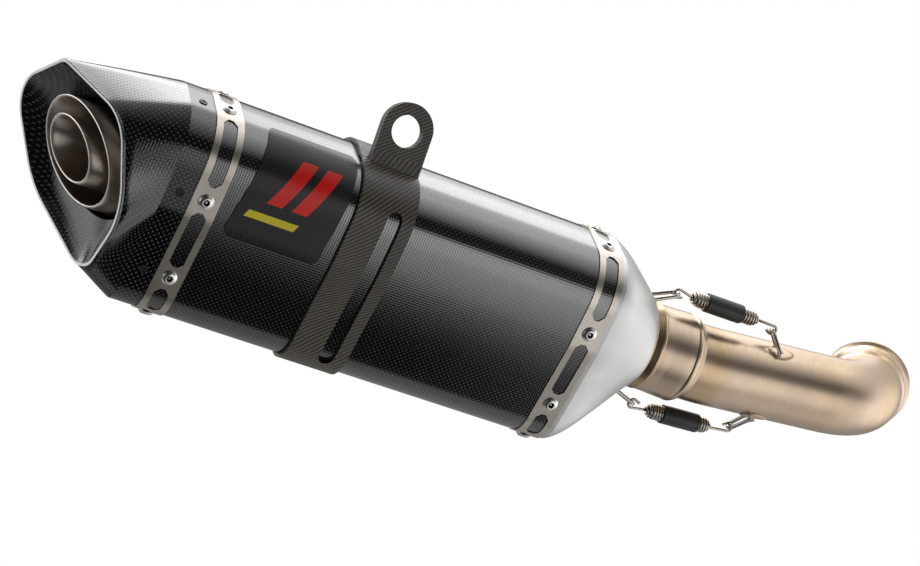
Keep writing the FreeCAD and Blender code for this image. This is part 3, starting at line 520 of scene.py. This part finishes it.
# An outline's corners as (y, z, radius): its crest, then shoulder and flank on the +Y side, then its keel.
SECTION = [(0, 62.7, 41.0), (56.2, 35.8, 30.0), (40.1, -15.4, 40.0), (0, -104.7, 19.3)]
RIM = [(0, 47.9, 11.5), (50.2, 26.4, 26.0), (42.2, -28.7, 55.0), (0, -71.0, 17.0)]
RIM_LEAN = 0.44
RIM_X = -65.5
ARC_STEPS = 14
LINE_STEPS = 10
SIDE_STEPS = ARC_STEPS + LINE_STEPS


def rim_plane_x(y, z):
    return RIM_X - RIM_LEAN * z - RIM_LEAN * y


def rounded(shield, x_at):
    """Points round a shield whose corners are arcs, with the same count on every one. x_at gives X."""
    whole = shield + [(-y, z, radius) for y, z, radius in shield[2:0:-1]]
    corners = [Vector((x_at(y, z), y, z)) for y, z, _ in whole]
    arcs = []
    for i, (corner, (_, _, radius)) in enumerate(zip(corners, whole)):
        back = (corners[i - 1] - corner).normalized()
        ahead = (corners[(i + 1) % len(corners)] - corner).normalized()
        half = back.angle(ahead) / 2
        centre = corner + (back + ahead).normalized() * (radius / math.sin(half))
        reach = radius / math.tan(half)
        start, end = corner + back * reach - centre, corner + ahead * reach - centre
        arcs.append([centre + start.slerp(end, step / ARC_STEPS) * radius for step in range(ARC_STEPS + 1)])
    points = []
    for i, arc in enumerate(arcs):
        following = arcs[(i + 1) % len(arcs)][0]
        points += arc + [arc[-1].lerp(following, step / LINE_STEPS) for step in range(1, LINE_STEPS)]
    return points


def section_at(x):
    return rounded(SECTION, lambda y, z: x)


def inset(points, distance, facing):
    """The outline moved inwards in its own plane, which faces a given way."""
    moved = []
    for i, point in enumerate(points):
        along = (points[(i + 1) % len(points)] - points[i - 1]).normalized()
        inward = facing.cross(along).normalized()
        if inward.dot(Vector((0, -point.y, -point.z - 10))) < 0:
            inward = -inward
        moved.append(point + inward * distance)
    return moved


def from_crest(points):
    """Metres round an outline from its crest, down both sides to the keel. It ends on its first point."""
    total, places = 0.0, [0.0]
    for i, point in enumerate(points):
        total += (points[(i + 1) % len(points)] - point).length
        places.append(total / 1000)
    crest, whole = places[ARC_STEPS // 2], places[-1]
    keel = 3 * SIDE_STEPS + ARC_STEPS // 2
    return [place - crest - (whole if i > keel else 0.0) for i, place in enumerate(places)]


# ---------------------------------------------------------------- sleeve

SLEEVE_LENGTH = 276.0
SLEEVE_WALL = 1.5
SLEEVE_OUTLINE = section_at(0)
CROWN = math.radians(3.0)


def crowned_normals(points):
    """Outward ways with each flat face slightly crowned, as lacquered carbon is."""
    ways = []
    for i, point in enumerate(points):
        step = i % SIDE_STEPS
        if step <= ARC_STEPS:
            share = 1.0 - 2.0 * step / ARC_STEPS
        else:
            share = 2.0 * (step - ARC_STEPS) / LINE_STEPS - 1.0
        along = (points[(i + 1) % len(points)] - points[i - 1]).normalized()
        out = X_AXIS.cross(along)
        if out.dot(Vector((0, point.y, point.z + 10))) < 0:
            out = -out
        ways.append((out + along * math.tan(CROWN) * share).normalized())
    return ways


def make_sleeve():
    """The six-sided tube, with crowned normals on its outside."""
    ways = crowned_normals(SLEEVE_OUTLINE)
    around = from_crest(SLEEVE_OUTLINE)
    inner = [point - way * SLEEVE_WALL for point, way in zip(SLEEVE_OUTLINE, ways)]
    stops = [SLEEVE_LENGTH * third / 3 for third in range(4)]
    rows = [[point + X_AXIS * x for point in SLEEVE_OUTLINE] for x in stops]
    rows += [[point + X_AXIS * x for point in inner] for x in reversed(stops)]
    weave = [[(x / 1000, v) for v in around] for x in stops + stops[::-1]]
    mesh = skin("sleeve", rows, weave, closed=True, angle=50.0)
    flat = {loop: face.normal for face in mesh.polygons for loop in face.loop_indices}
    normals = []
    for loop in mesh.loops:
        ring, i = divmod(loop.vertex_index, len(SLEEVE_OUTLINE))
        outside = ring < len(stops) and flat[loop.index].dot(ways[i]) > 0.5
        normals.append(ways[i] if outside else flat[loop.index])
    mesh.normals_split_custom_set(normals)
    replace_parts(piece("sleeve", mesh, "silencer", "carbon_sleeve"), "outer_sleeve")


make_sleeve()

# ---------------------------------------------------------------- outlet end cap and dish

TUBE_DROP = 1.3
BODY_STEPS = 9
DISH_STEPS = 8
DISH_MM_PER_WEAVE_METRE = 880
DISH_COLLAR = [(32.6, 15.6), (32.3, 17.0), (32.3, 21.0), (33.8, 21.0)]


def body_rings(crease, rim):
    """The slanted body between its crease and its rim, slightly swollen."""
    rings = []
    for step in range(1, BODY_STEPS):
        share = step / BODY_STEPS
        ring = []
        for near, far in zip(crease, rim):
            point = near.lerp(far, share)
            out = Vector((0, point.y, point.z + 8)).normalized()
            ring.append(point + out * 0.35 * math.sin(math.pi * share))
        rings.append(ring)
    return rings


def lip_rings(rim, facing):
    """The rounded edge, from the body over to the dish."""
    rings = [[point - facing * 1.2 for point in rim]]
    for degrees in range(20, 171, 30):
        t = math.radians(degrees)
        ring = inset(rim, 1.1 * (1 - math.cos(t)), facing)
        rings.append([point + facing * (0.9 * math.sin(t)) for point in ring])
    return rings


def tube_surround(mouth, radius, depth):
    """A circle round the outlet tubes, a depth behind the rim's plane, with as many points as the mouth."""
    ring = []
    for point in mouth:
        angle = math.atan2(point.z + TUBE_DROP, point.y)
        y, z = radius * math.cos(angle), radius * math.sin(angle) - TUBE_DROP
        ring.append(Vector((rim_plane_x(y, z) + depth, y, z)))
    return ring


def dish_rings(mouth, facing):
    """The hollow from the lip down to the tubes, and the short collar round them."""
    floor = tube_surround(mouth, 33.0, 15.0)
    rings = []
    for step in range(DISH_STEPS + 1):
        share = step / DISH_STEPS
        sag = facing * 2.2 * math.sin(math.pi * share) * (1 - share * 0.4)
        rings.append([start.lerp(end, share) - sag for start, end in zip(mouth, floor)])
    return rings + [tube_surround(mouth, radius, depth) for radius, depth in DISH_COLLAR]


def make_end_cap():
    """The carbon snout: a straight flange, a slanted body, a rounded lip and the dish inside it."""
    rim = rounded(RIM, rim_plane_x)
    facing = Vector((-1.0, -RIM_LEAN, -RIM_LEAN)).normalized()
    flange = [section_at(x) for x in (0, -5.0, -11.0, -16.0)]
    body, lip = body_rings(flange[-1], rim), lip_rings(rim, facing)
    rows = flange + body + lip + dish_rings(inset(rim, 2.3, facing), facing)
    lip_start = len(flange) + len(body)
    lip_end = lip_start + len(lip)
    weave, reach = [], [0.0] * len(rim)
    for row, ring in enumerate(rows):
        if row:
            reach = [r - (a - b).length / 1000 for r, a, b in zip(reach, ring, rows[row - 1])]
        if row < lip_end:
            weave.append(list(zip(reach + reach[:1], from_crest(ring))))
        else:
            scale = 1 / DISH_MM_PER_WEAVE_METRE
            weave.append([(point.y * scale, point.z * scale) for point in ring + ring[:1]])
    # The rows over the rim's rounded lip take the painted highlight.
    paint = [1 if lip_start + 2 <= row < lip_end - 2 else 0 for row in range(len(rows))]
    mesh = skin("end_cap", rows, weave, angle=24.0, paint=paint, creases=(len(flange) - 1,))
    cap = piece("end_cap", mesh, "silencer", "carbon_cap", MATERIALS["carbon_cap"], MATERIALS["rim_highlight_paint"])
    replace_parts(cap, "outlet_end_cap", "end_cap_dish")


make_end_cap()

# ---------------------------------------------------------------- outlet tubes

# The rolled lip as (back from the lip's plane, in from the tube's outside).
TUBE_LIP = [(3.0, 0.0), (0.8, 0.0), (0.25, 0.15), (0.0, 0.45), (0.0, 0.75), (0.25, 1.05), (0.8, 1.2),
            (3.0, 1.2)]
TUBE_WALL = 1.2
LIP_HIGHLIGHT_ROWS = range(3, 8)


def make_lip_tube(name, node, radius, lip, end):
    """A thin tube whose outer end leans with the rim and has a rolled lip."""
    middle = 0.5 * (end + lip)

    def ring(reach, x, lean=0.0):
        places = [(reach * math.cos(turn), reach * math.sin(turn)) for turn in circle_turns(96)]
        return [Vector((x - lean * (0.5 * up + 0.42 * y), y, up - TUBE_DROP)) for y, up in places]

    rows = [ring(radius, end), ring(radius, middle)]
    rows += [ring(radius - depth, lip + back, 1.0) for back, depth in TUBE_LIP]
    rows += [ring(radius - TUBE_WALL, middle), ring(radius - TUBE_WALL, end)]
    # The rows round the rolled lip take the brighter lip metal, a painted highlight.
    paint = [1 if row in LIP_HIGHLIGHT_ROWS else 0 for row in range(len(rows))]
    mesh = skin(name, rows, closed=True, angle=50.0, paint=paint)
    tube = piece(name, mesh, "silencer", "tube_metal", MATERIALS["tube_metal"], MATERIALS["lip"])
    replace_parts(tube, node)


make_lip_tube("outlet_tube_outer", "outlet_outer_tube", 29.6, -62.0, 4.0)
make_lip_tube("outlet_tube_inner", "outlet_inner_tube", 18.5, -66.8, 52.0)

# ---------------------------------------------------------------- rivets

# Each rivet as ((y, z) near its place, its outward way as (y, z)).
SIDE_RIVETS = [((27.8, 49.4), (0.43, 0.90)), ((44.2, -4.9), (0.955, -0.296)),
               ((23.0, -53.5), (0.912, -0.410))]
FAR_RIVETS = [((-y, z), (-way_y, way_z)) for (y, z), (way_y, way_z) in SIDE_RIVETS]
RIVETS = [((0.0, 58.2), (0.0, 1.0)), *FAR_RIVETS, *SIDE_RIVETS, ((0.0, -77.0), (0.0, -1.0))]
STRAP_THICK = 0.85
# The head as (height, radius): a skirt and dome, then the socket's wall, painted dark as painted shade,
# then its floor.
RIVET_DOME = [(0.0, 4.7), (0.35, 4.75), (0.55, 4.5), (0.75, 4.25), (1.15, 3.8), (1.5, 3.3), (1.75, 2.75),
              (1.86, 2.3), (1.84, 2.0)]
RIVET_WALL = [(1.7, 1.85), (0.55, 1.8)]
RIVET_FLOOR = [(0.55, 0.75), (0.8, 0.6), (0.85, 0.01)]


def rivet_mesh(name, place, way):
    """A dome head on a flat skirt, with a round socket."""
    across = way.cross(X_AXIS)
    rows = []
    for height, radius in RIVET_DOME + RIVET_WALL + RIVET_FLOOR:
        outs = [X_AXIS * math.cos(t) + across * math.sin(t) for t in circle_turns(40)]
        rows.append([place + way * height + out * radius for out in outs])
    # The socket's wall takes the painted shade.
    paint = [0] * len(RIVET_DOME) + [1] * len(RIVET_WALL) + [0] * len(RIVET_FLOOR)
    return skin(name, rows, angle=45.0, paint=paint)


def foot_on_section(near, out, height):
    """Where a line out through a point leaves the sleeve's outline, raised by a height."""
    def from_line(point):
        return (near - point).cross(out).length + (0 if point.dot(out) > 0 else 1e3)

    leaving = min(SLEEVE_OUTLINE, key=from_line)
    return near + out * ((leaving - near).dot(out) + height)


def make_rivets(name, node, x):
    """A strap's rivets, at one X along the silencer."""
    heads = []
    for place, way in RIVETS:
        out = Vector((0, *way))
        foot = foot_on_section(Vector((0, *place)), out, STRAP_THICK) + X_AXIS * x
        heads.append(rivet_mesh("head", foot, out.normalized()))
    finishes = MATERIALS["rivet_metal"], MATERIALS["socket_painted_shade"]
    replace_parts(piece(name, merged(name, heads), "silencer", "rivet_metal", *finishes), node)


make_rivets("rivets_outlet", "outlet_strap_rivets", 8.75)
make_rivets("rivets_inlet", "inlet_strap_rivets", 267.25)

# ---------------------------------------------------------------- neck weld


def make_neck_weld():
    """A bead of overlapping ripples where the neck meets the inlet cap."""
    neck_end, radius, thick = Vector((319.3, 0, 0)), 27.3, 1.5
    segments, steps, phase = 420, 8, 0.4

    def ripple(turn, step):
        lump = abs(math.sin(turn * segments / 8 + phase)) * 0.16 + 0.10 * math.sin(turn * 7 + phase)
        return lump * math.sin(math.pi * step / steps) if step < steps else 0.0

    half_turn = [math.pi * step / steps for step in range(steps + 1)]
    profile = [(-1.5 * thick * math.cos(t), radius + 0.75 * thick * math.sin(t)) for t in half_turn]
    profile.append((0.0, radius - 0.4))
    mesh = lathe("weld_neck", profile, neck_end, X_AXIS, segments, ripple, 70.0)
    piece("weld_neck", mesh, "silencer", "pipe_metal", MATERIALS["weld"])


make_neck_weld()

# ---------------------------------------------------------------- springs and their hooks

# The link pipe's straight run, and its radius.
RUN_START = Vector((376.65, -0.175, 0.703))
RUN_WAY = Vector((0.99588, -0.02193, 0.08794)).normalized()
PIPE_RADIUS = 25.4


def lean_out(degrees):
    """A way out from the X axis, leaning from up towards -Y."""
    return Vector((0, -math.sin(math.radians(degrees)), math.cos(math.radians(degrees))))


# Places are (x, distance out from the axis). The hooks' feet are on the inlet cap and on the link pipe.
SPRINGS = {
    "upper": {"out": lean_out(20), "cap_foot": (313.0, 31.0), "cap_tip": (331.0, 40.2),
              "coil": ((340.0, 40.8), (391.0, 41.2)), "pipe_tip": (403.5, 38.4), "pipe_foot": 413.0,
              "cuff": 351.0, "pad_turn": 38.0},
    "lower": {"out": lean_out(190), "cap_foot": (316.5, 31.9), "cap_tip": (336.0, 38.4),
              "coil": ((346.0, 39.6), (394.0, 37.0)), "pipe_tip": (406.5, 33.0), "pipe_foot": 409.5,
              "cuff": 357.5, "pad_turn": 164.0},
}
COIL_TURNS = 25
COIL_RADIUS = 4.3
COIL_TIP_RADIUS = 0.3
WIRE_RADIUS = 0.95
HOOK_REACH = 2.9
STAPLE_HALF = 3.3
STAPLE_WIRE = 1.3
CUFF_LENGTH = 27.0


def spring_place(spring, x, radius, side=0.0):
    out = spring["out"]
    return X_AXIS * x + out * radius + X_AXIS.cross(out) * side


def end_hook_path(spring, coil_end, tip, sign):
    """From the coil's end to the open end of the hook that goes round the staple."""
    gap_x, gap_r = coil_end[0] - tip[0], coil_end[1] - tip[1]
    start_turn = math.atan2(gap_r, gap_x * sign) + math.acos(HOOK_REACH / math.hypot(gap_x, gap_r))
    points = []
    for step in range(19):
        turn = start_turn + 3.75 * step / 18
        points.append((tip[0] + sign * HOOK_REACH * math.cos(turn), tip[1] + HOOK_REACH * math.sin(turn)))
    last, before = points[-1], points[-2]
    length = math.dist(last, before)
    run = ((last[0] - before[0]) / length, (last[1] - before[1]) / length)
    points += [(last[0] + run[0] * step * 0.8, last[1] + run[1] * step * 0.8) for step in range(1, 5)]
    return [spring_place(spring, x, r, -0.6 * i / len(points)) for i, (x, r) in enumerate(points)]


def coil_path(spring):
    """The coil's turns, drawn in to a point at each end."""
    start, end = (spring_place(spring, *place) for place in spring["coil"])
    way = (end - start).normalized()
    side = (spring["out"] - way * spring["out"].dot(way)).normalized()
    across = way.cross(side)
    points, per_turn, drawn_in = [], 22, 3.2
    total = COIL_TURNS * per_turn
    for i in range(total + 1):
        turns = i / per_turn
        ease = min(1.0, turns / drawn_in, (COIL_TURNS - turns) / drawn_in)
        widened = math.sin(ease * math.pi / 2) ** 0.8
        radius = COIL_TIP_RADIUS + (COIL_RADIUS - COIL_TIP_RADIUS) * widened
        turn = 2 * math.pi * turns
        out = side * math.cos(turn) + across * math.sin(turn)
        points.append(start.lerp(end, i / total) + out * radius)
    return points


def make_spring(name, spring):
    """The wire: a hook, the coil and the other hook, stretched between the silencer and the link pipe."""
    first = end_hook_path(spring, spring["coil"][0], spring["cap_tip"], 1)
    last = end_hook_path(spring, spring["coil"][1], spring["pipe_tip"], -1)
    mesh = sweep("spring_wire_" + name, first[::-1] + coil_path(spring) + last, WIRE_RADIUS)
    wire = piece("spring_wire_" + name, mesh, None, "wire_metal")
    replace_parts(wire, "spring_" + name)
    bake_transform(wire)


def make_staple(name, spring, foot, tip):
    """A bent wire loop whose two feet stand a little wider and swell into small welds."""
    tip_point = spring_place(spring, *tip)
    lean = (tip_point - foot).normalized()
    across = X_AXIS.cross(spring["out"]) * STAPLE_HALF
    centre = tip_point - lean * STAPLE_HALF
    path = [(foot - across * 1.25).lerp(centre - across, i / 8) for i in range(8)]
    for i in range(15):
        turn = math.pi * i / 14
        path.append(centre - across * math.cos(turn) + lean * STAPLE_HALF * math.sin(turn))
    path += [(centre + across).lerp(foot + across * 1.25, i / 8) for i in range(1, 9)]
    swell = [STAPLE_WIRE + max(0.0, 1 - i / 2.5) ** 1.5 for i in range(len(path))]
    radii = [max(near, far) for near, far in zip(swell, swell[::-1])]
    return sweep(name, path, radii, 12)


def pad_meshes(name, spring):
    """A drop-shaped plate that hugs the pipe, with its weld round it, and the foot of its staple."""
    centre = RUN_START + RUN_WAY * (spring["pipe_foot"] - RUN_START.x)
    lean = lean_out(spring["pad_turn"])
    up = (lean - RUN_WAY * RUN_WAY.z * lean.z).normalized()
    across = RUN_WAY.cross(up)

    def on_pipe(along, girth, height):
        turn = girth / PIPE_RADIUS
        out = up * math.cos(turn) + across * math.sin(turn)
        return centre + RUN_WAY * along + out * (PIPE_RADIUS + height)

    def drop(turn, length, width, height):
        tail = 1.0 + 0.35 * max(0.0, math.cos(turn)) ** 3
        return on_pipe(length * math.cos(turn) * tail + 1.0, width * math.sin(turn), height)

    rows = []
    for share, height in ((0.02, 0.9), (0.5, 0.9), (0.86, 0.9), (0.95, 0.8), (1.0, 0.45), (1.0, -0.3)):
        rows.append([drop(turn, 7.2 * share, 5.4 * share, height) for turn in circle_turns(64)])
    plate = skin(name, rows, angle=50.0)
    edge = [drop(turn, 7.4, 5.6, 0.1) for turn in circle_turns(180)]
    ripples = [0.55 + 0.12 * math.sin(k * 1.7) for k in range(len(edge))]
    return plate, sweep(name + "_bead", edge, ripples, 8, closed=True), on_pipe(0.0, 0.0, 0.6)


def make_cuff(name, spring):
    """A moulded rubber tube with rounded ends and shallow flutes."""
    start, end = (spring_place(spring, *place) for place in spring["coil"])
    way = (end - start).normalized()
    place = start + way * ((spring["cuff"] - spring["coil"][0][0]) / way.x)
    near = [(0.2, 5.35), (0.0, 5.5), (0.1, 5.85), (0.5, 6.1), (1.2, 6.2), (1.9, 6.05), (2.6, 6.1)]
    far = [(CUFF_LENGTH - distance, radius) for distance, radius in reversed(near)]
    profile = [*near, (CUFF_LENGTH / 2, 6.15), *far, (CUFF_LENGTH / 2, 5.35)]

    def flutes(turn, step):
        return 0.05 * math.cos(turn * 24) if 5 <= step <= 9 else 0.0

    mesh = lathe("cuff_" + name, profile, place, way, 96, flutes, 50.0)
    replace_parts(piece("cuff_" + name, mesh, "cuff_" + name, "rubber"), "spring_cuff_" + name)


def make_hooks(name, spring):
    """The staple on the inlet cap, and the pad with its weld and staple on the link pipe."""
    cap_foot = spring_place(spring, *spring["cap_foot"])
    loop = make_staple("cap_loop_" + name, spring, cap_foot, spring["cap_tip"])
    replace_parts(piece("cap_loop_" + name, loop, "silencer", "wire_metal"), "cap_hook_" + name)
    plate, bead, pipe_foot = pad_meshes("pipe_pad_" + name, spring)
    loop = make_staple("pipe_loop_" + name, spring, pipe_foot, spring["pipe_tip"])
    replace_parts(piece("pipe_loop_" + name, loop, "link", "wire_metal"), "pipe_hook_" + name)
    piece("pipe_pad_" + name, plate, "link", "pipe_metal")
    piece("pipe_pad_weld_" + name, bead, "link", "pipe_metal", MATERIALS["weld"])


for name, spring in SPRINGS.items():
    make_spring(name, spring)
    make_cuff(name, spring)
    make_hooks(name, spring)

# ---------------------------------------------------------------- soft edges on the carried pieces

EDGE_WIDTHS = {"hanger_clamp": 0.35, "outlet_strap": 0.12, "inlet_strap": 0.12, "badge_plate": 0.2,
               "inlet_cap_flange": 0.2}
for node, width in EDGE_WIDTHS.items():
    bevel = NODES[node].modifiers.new("edge", "BEVEL")
    bevel.width = width / 1000
    bevel.segments = 2
    bevel.limit_method = "ANGLE"
    bevel.angle_limit = math.radians(40)
